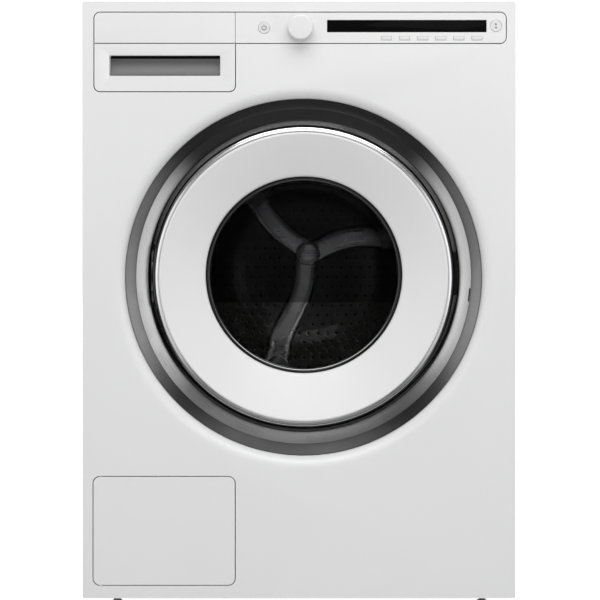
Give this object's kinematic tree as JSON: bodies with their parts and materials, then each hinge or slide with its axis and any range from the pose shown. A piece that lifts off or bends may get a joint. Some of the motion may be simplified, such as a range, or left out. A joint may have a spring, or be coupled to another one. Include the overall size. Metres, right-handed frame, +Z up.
{
  "type": "front load washing machine",
  "caption": "Free-standing front-loading washing machine with a suspended tub and drum, a glass-bowl door, a detergent drawer, a control strip, a filter flap and screw feet.",
  "frame": {"origin": "on the floor, under the middle of the machine's bounding box", "axes": "+Z up; the door and controls face -Y; +X to the right as seen from the front"},
  "size_m": [0.595, 0.597, 0.85],
  "materials": {
    "cabinet_white": "satin",
    "galvanised": "satin",
    "top_board": "laminate, white, satin",
    "ring_silver": "brushed",
    "rim_chrome": "polished",
    "white_plastic": "satin",
    "window_black": "gloss",
    "knob_satin": "satin",
    "bowl_glass": "clear, dark tint",
    "stainless": "satin",
    "paddle_grey": "matte",
    "black_rubber": "matte",
    "grey_rubber": "matte",
    "inner_plastic": "matte",
    "dark_plastic": "matte",
    "cast_iron": "painted matte",
    "cast_aluminium": "as cast",
    "strut_steel": "satin",
    "plated_steel": "zinc plated"
  },
  "bodies": {
    "root": {"base_tray": "galvanised", "left_side_panel": "cabinet_white", "right_side_panel": "cabinet_white", "front_panel": "cabinet_white", "rear_panel": "galvanised", "rear_service_cover": "galvanised", "top_panel": "top_board", "porthole_surround": "ring_silver", "control_fascia": "white_plastic", "display_module": "window_black", "dispenser_housing": "inner_plastic", "inlet_valve": "inner_plastic", "mains_gland": "dark_plastic", "drain_pump": "inner_plastic", "drain_hose": "grey_rubber", "sump_hose": "black_rubber", "dispenser_hose": "black_rubber", "strut_cylinders": "strut_steel", "strut_springs": "plated_steel", "cover_screws": "plated_steel"},
    "tub": {"tub_shell": "stainless", "tub_front": "stainless", "bearing_housing": "cast_aluminium", "tub_bearings": "plated_steel", "counterweights": "cast_iron", "motor_body": "cast_aluminium", "drive_belt": "black_rubber", "strut_rods": "plated_steel", "heater": "plated_steel", "hinge_bracket": "plated_steel", "hinge_pin": "plated_steel", "door_lock": "dark_plastic"},
    "drum": {"drum_shell": "stainless", "drum_paddles": "paddle_grey", "drum_shaft": "plated_steel", "drum_pulley": "cast_aluminium"},
    "motor_pulley_body": {"motor_pulley": "plated_steel"},
    "door": {"door_frame": "white_plastic", "door_rim": "rim_chrome", "door_glass": "bowl_glass", "door_inner_ring": "stainless", "door_gasket": "grey_rubber", "latch_hook": "plated_steel"},
    "drawer": {"drawer_front": "white_plastic", "drawer_box": "inner_plastic"},
    "knob": {"programme_knob": "knob_satin"},
    "flap": {"filter_flap": "white_plastic"},
    "filter": {"pump_filter": "inner_plastic"},
    "power": {"power_button": "knob_satin"},
    "start": {"start_button": "knob_satin"},
    "key_1": {"option_key_1": "white_plastic"},
    "key_2": {"option_key_2": "white_plastic"},
    "key_3": {"option_key_3": "white_plastic"},
    "key_4": {"option_key_4": "white_plastic"},
    "key_5": {"option_key_5": "white_plastic"},
    "key_6": {"option_key_6": "white_plastic"},
    "front_left_foot": {"foot_front_left": "dark_plastic"},
    "front_right_foot": {"foot_front_right": "dark_plastic"},
    "rear_left_foot": {"foot_rear_left": "dark_plastic"},
    "rear_right_foot": {"foot_rear_right": "dark_plastic"}
  },
  "joints": [
    {"name": "tub_suspension", "type": "slide", "parent": "root", "child": "tub", "axis": [0, 0, 1], "range_m": [-0.005, 0.004], "stiffness_N_per_m": 32000, "springref_m": 0.01687, "deforming": ["strut_springs", "sump_hose", "dispenser_hose"]},
    {"name": "drum_spin", "type": "hinge", "parent": "tub", "child": "drum", "pos_m": [0.006, 0, 0.47], "axis": [0, 1, 0], "continuous": true},
    {"name": "motor_spin", "type": "hinge", "parent": "tub", "child": "motor_pulley_body", "pos_m": [0.101, 0, 0.13], "axis": [0, 1, 0], "continuous": true},
    {"name": "door_hinge", "type": "hinge", "parent": "tub", "child": "door", "pos_m": [-0.202, -0.2525, 0.47], "axis": [0, 0, -1], "range_deg": [0, 110]},
    {"name": "drawer_slide", "type": "slide", "parent": "root", "child": "drawer", "axis": [0, -1, 0], "range_m": [0, 0.23]},
    {"name": "knob_turn", "type": "hinge", "parent": "root", "child": "knob", "pos_m": [0.0022, -0.29, 0.81395], "axis": [0, 1, 0], "continuous": true},
    {"name": "flap_hinge", "type": "hinge", "parent": "root", "child": "flap", "pos_m": [-0.2729, -0.2752, 0.12265], "axis": [0, 0, -1], "range_deg": [0, 100]},
    {"name": "filter_turn", "type": "hinge", "parent": "root", "child": "filter", "pos_m": [-0.135, -0.24, 0.112], "axis": [0, -1, 0], "range_deg": [0, 120]},
    {"name": "power_press", "type": "slide", "parent": "root", "child": "power", "axis": [0, 1, 0], "range_m": [0, 0.0015], "stiffness_N_per_m": 1500},
    {"name": "start_press", "type": "slide", "parent": "root", "child": "start", "axis": [0, 1, 0], "range_m": [0, 0.0015], "stiffness_N_per_m": 1500},
    {"name": "key_1_press", "type": "slide", "parent": "root", "child": "key_1", "axis": [0, 1, 0], "range_m": [0, 0.0015], "stiffness_N_per_m": 1500},
    {"name": "key_2_press", "type": "slide", "parent": "root", "child": "key_2", "axis": [0, 1, 0], "range_m": [0, 0.0015], "stiffness_N_per_m": 1500},
    {"name": "key_3_press", "type": "slide", "parent": "root", "child": "key_3", "axis": [0, 1, 0], "range_m": [0, 0.0015], "stiffness_N_per_m": 1500},
    {"name": "key_4_press", "type": "slide", "parent": "root", "child": "key_4", "axis": [0, 1, 0], "range_m": [0, 0.0015], "stiffness_N_per_m": 1500},
    {"name": "key_5_press", "type": "slide", "parent": "root", "child": "key_5", "axis": [0, 1, 0], "range_m": [0, 0.0015], "stiffness_N_per_m": 1500},
    {"name": "key_6_press", "type": "slide", "parent": "root", "child": "key_6", "axis": [0, 1, 0], "range_m": [0, 0.0015], "stiffness_N_per_m": 1500},
    {"name": "front_left_foot_screw", "type": "slide", "parent": "root", "child": "front_left_foot", "axis": [0, 0, 1], "range_m": [-0.02, 0]},
    {"name": "front_right_foot_screw", "type": "slide", "parent": "root", "child": "front_right_foot", "axis": [0, 0, 1], "range_m": [-0.02, 0]},
    {"name": "rear_left_foot_screw", "type": "slide", "parent": "root", "child": "rear_left_foot", "axis": [0, 0, 1], "range_m": [-0.02, 0]},
    {"name": "rear_right_foot_screw", "type": "slide", "parent": "root", "child": "rear_right_foot", "axis": [0, 0, 1], "range_m": [-0.02, 0]}
  ],
  "couplings": [
    {"joint": "motor_spin", "follows": "drum_spin", "ratio": 14.286}
  ]
}
